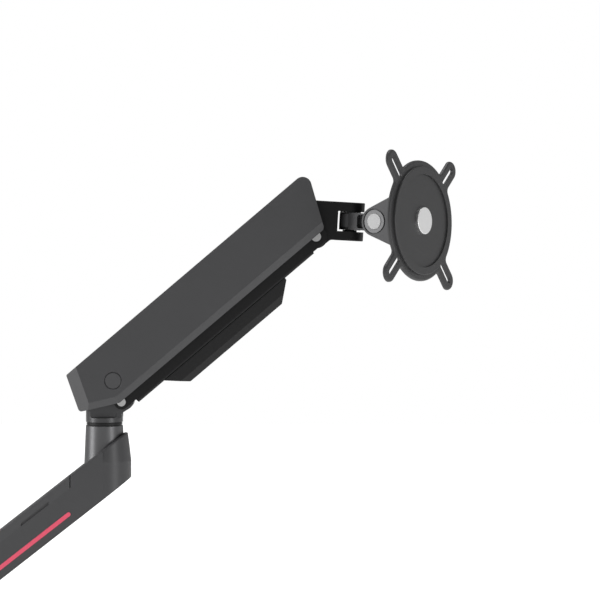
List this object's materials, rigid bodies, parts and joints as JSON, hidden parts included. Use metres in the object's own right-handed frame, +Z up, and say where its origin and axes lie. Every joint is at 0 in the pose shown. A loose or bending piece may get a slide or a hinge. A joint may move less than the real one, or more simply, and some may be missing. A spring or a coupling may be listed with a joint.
{
  "type": "monitor arm",
  "caption": "Desk-clamp monitor arm: sloped lower arm, gas-spring parallelogram upper arm, and a pan, tilt and rotate head with a slotted screen plate.",
  "frame": {"origin": "on the desk surface, on the axis of the base swivel", "axes": "+X along the stretched arm towards the screen, +Z up, the near side towards -Y"},
  "size_m": [0.5642, 0.1367, 0.6589],
  "materials": {
    "coated_alloy": "fine satin powder coat, dark grey",
    "satin_alloy": "satin anodised dark aluminium",
    "head_alloy": "satin grey paint",
    "black_steel": "black coated steel",
    "black_plastic": "fine matt texture",
    "grey_plastic": "fine matt texture, dark grey",
    "red_inlay": "satin red",
    "bright_steel": "turned bright steel",
    "plain_steel": "zinc plated",
    "dark_rubber": "matt",
    "ring_alloy": "satin"
  },
  "bodies": {
    "base": {"base_plate": "coated_alloy", "base_pad": "dark_rubber", "swivel_column": "plain_steel", "column_collar": "black_steel", "column_washer": "plain_steel", "column_bolt": "plain_steel", "clamp_bracket": "black_steel", "bracket_screws": "black_steel", "clamp_nut": "plain_steel"},
    "clamp_pad": {"clamp_pad_plate": "plain_steel", "clamp_pad_rubber": "dark_rubber"},
    "clamp_screw": {"clamp_screw": "black_steel", "clamp_knob": "black_plastic"},
    "lower_arm": {"lower_arm_casting": "coated_alloy", "cable_cover": "grey_plastic", "red_inlay_near": "red_inlay", "red_inlay_far": "red_inlay", "swivel_bush": "black_plastic", "elbow_plug": "grey_plastic", "elbow_post": "satin_alloy", "elbow_washer": "black_plastic"},
    "knuckle": {"elbow_knuckle": "satin_alloy", "elbow_spindle": "plain_steel", "spindle_washer": "plain_steel", "spindle_nut": "plain_steel", "rear_upper_pin": "plain_steel", "rear_lower_pin": "bright_steel", "rear_pin_washers": "black_plastic"},
    "upper_arm": {"upper_arm_cover": "coated_alloy", "pivot_cap_near": "grey_plastic", "pivot_cap_far": "grey_plastic", "front_upper_pin": "plain_steel", "spring_bracket": "black_steel", "spring_pin": "plain_steel", "gas_cylinder": "black_steel", "gas_cylinder_eye": "plain_steel"},
    "tension_screw": {"tension_screw": "plain_steel"},
    "lower_link": {"lower_link": "black_steel", "cable_box": "black_plastic", "cable_box_screws": "plain_steel"},
    "gas_rod": {"gas_rod": "bright_steel", "gas_rod_eye": "plain_steel"},
    "fork": {"head_fork": "black_steel", "front_lower_pin": "bright_steel", "pan_pin": "black_steel", "pan_washers": "black_plastic"},
    "pan": {"pan_knuckle": "head_alloy", "pan_bush": "black_plastic"},
    "tilt": {"tilt_bracket": "head_alloy", "tilt_pin": "plain_steel", "tilt_ring_near": "ring_alloy", "tilt_ring_far": "ring_alloy", "tilt_cap_near": "bright_steel", "tilt_cap_far": "bright_steel", "plate_bolt": "plain_steel", "plate_washer": "black_plastic"},
    "screen_plate": {"screen_plate": "head_alloy", "centre_cap": "bright_steel"}
  },
  "joints": [
    {"name": "clamp_travel", "type": "slide", "parent": "base", "child": "clamp_pad", "axis": [0, 0, 1], "range_m": [-0.05, 0.02]},
    {"name": "clamp_turn", "type": "hinge", "parent": "clamp_pad", "child": "clamp_screw", "pos_m": [0.004, 0, -0.06], "axis": [0, 0, 1], "range_deg": [-12015, 4813]},
    {"name": "base_swivel", "type": "hinge", "parent": "base", "child": "lower_arm", "pos_m": [0, 0, 0.03], "axis": [0, 0, 1], "range_deg": [-180, 180]},
    {"name": "elbow_swivel", "type": "hinge", "parent": "lower_arm", "child": "knuckle", "pos_m": [0.1996, 0, 0.23], "axis": [0, 0, 1], "range_deg": [-180, 180]},
    {"name": "arm_lift", "type": "hinge", "parent": "knuckle", "child": "upper_arm", "pos_m": [0.20895, 0, 0.29407], "axis": [0, -1, 0], "range_deg": [-65, 4]},
    {"name": "link_lift", "type": "hinge", "parent": "knuckle", "child": "lower_link", "pos_m": [0.2161, 0, 0.27432], "axis": [0, -1, 0], "range_deg": [-65.1, 4.1]},
    {"name": "spring_stroke", "type": "slide", "parent": "upper_arm", "child": "gas_rod", "axis": [0.64, 0, 0.7684], "range_m": [-0.0018, 0.023]},
    {"name": "fork_level", "type": "hinge", "parent": "upper_arm", "child": "fork", "pos_m": [0.38551, 0, 0.44396], "axis": [0, -1, 0], "range_deg": [-4.1, 65.1]},
    {"name": "tension_turn", "type": "hinge", "parent": "upper_arm", "child": "tension_screw", "pos_m": [0.3485, 0, 0.4274], "axis": [0.7623, 0, 0.6472], "range_deg": [-1080, 1080]},
    {"name": "head_pan", "type": "hinge", "parent": "fork", "child": "pan", "pos_m": [0.42366, 0, 0.43781], "axis": [0.0576, 0, 0.9983], "range_deg": [-56.2, 123.8]},
    {"name": "head_tilt", "type": "hinge", "parent": "pan", "child": "tilt", "pos_m": [0.4536, -0.02003, 0.43749], "axis": [0.5554, 0.831, -0.032], "range_deg": [-45, 45]},
    {"name": "plate_rotate", "type": "hinge", "parent": "tilt", "child": "screen_plate", "pos_m": [0.48911, -0.04371, 0.43868], "axis": [0.8316, -0.5547, 0.0279], "continuous": true}
  ],
  "couplings": [
    {"joint": "clamp_turn", "follows": "clamp_travel", "rad_per_m": 4188.8},
    {"joint": "link_lift", "follows": "arm_lift", "ratio": 1},
    {"joint": "fork_level", "follows": "arm_lift", "ratio": -1},
    {"joint": "spring_stroke", "follows": "arm_lift", "m_per_rad": -0.02}
  ]
}
